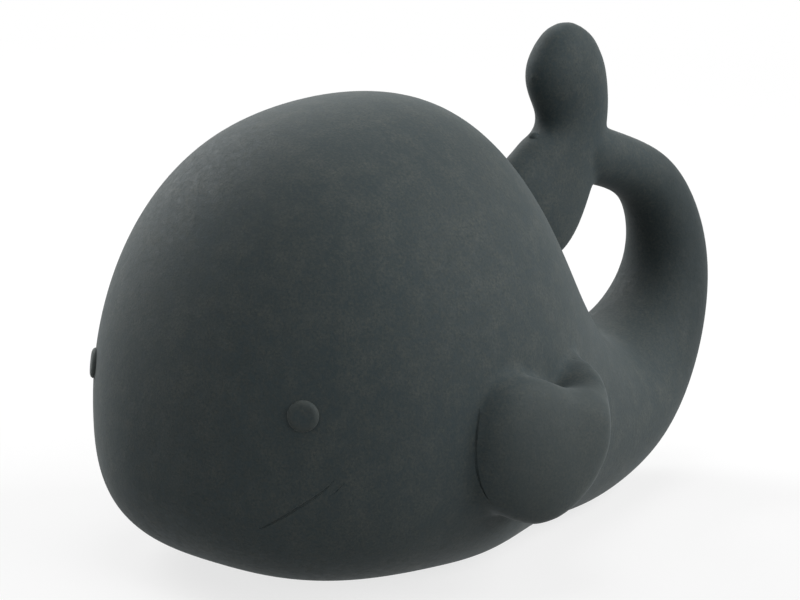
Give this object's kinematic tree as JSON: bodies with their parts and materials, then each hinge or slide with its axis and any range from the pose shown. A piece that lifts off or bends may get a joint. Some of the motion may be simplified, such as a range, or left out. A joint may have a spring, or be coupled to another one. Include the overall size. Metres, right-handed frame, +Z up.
{
  "type": "squeaky bath toy",
  "caption": "Hollow rubber bath whale with a round body, side flippers and a curled tail that makes a finger loop; a reed squeaker plugs into its belly.",
  "frame": {"origin": "on the floor, on the flat underside below the widest part of the head", "axes": "+Z up, -Y towards the nose, +X towards the whale's left side; the long way from nose to tail lies along Y"},
  "size_m": [0.0944, 0.1253, 0.0793],
  "materials": {
    "rubber": "matt, with a dusty sheen",
    "squeaker_plastic": "moulded, satin",
    "reed_film": "thin film, satin"
  },
  "bodies": {
    "whale": {"whale_skin": "rubber", "squeaker_housing": "squeaker_plastic", "squeaker_cap": "squeaker_plastic", "reed_seat": "squeaker_plastic", "reed_wedge": "squeaker_plastic"},
    "reed": {"reed_tongue": "reed_film"}
  },
  "joints": [
    {"name": "reed_beat", "type": "hinge", "parent": "whale", "child": "reed", "pos_m": [0, 0.022, 0.004], "axis": [0, 1, 0], "range_deg": [-2, 4], "stiffness_Nm_per_rad": 0.00005}
  ]
}
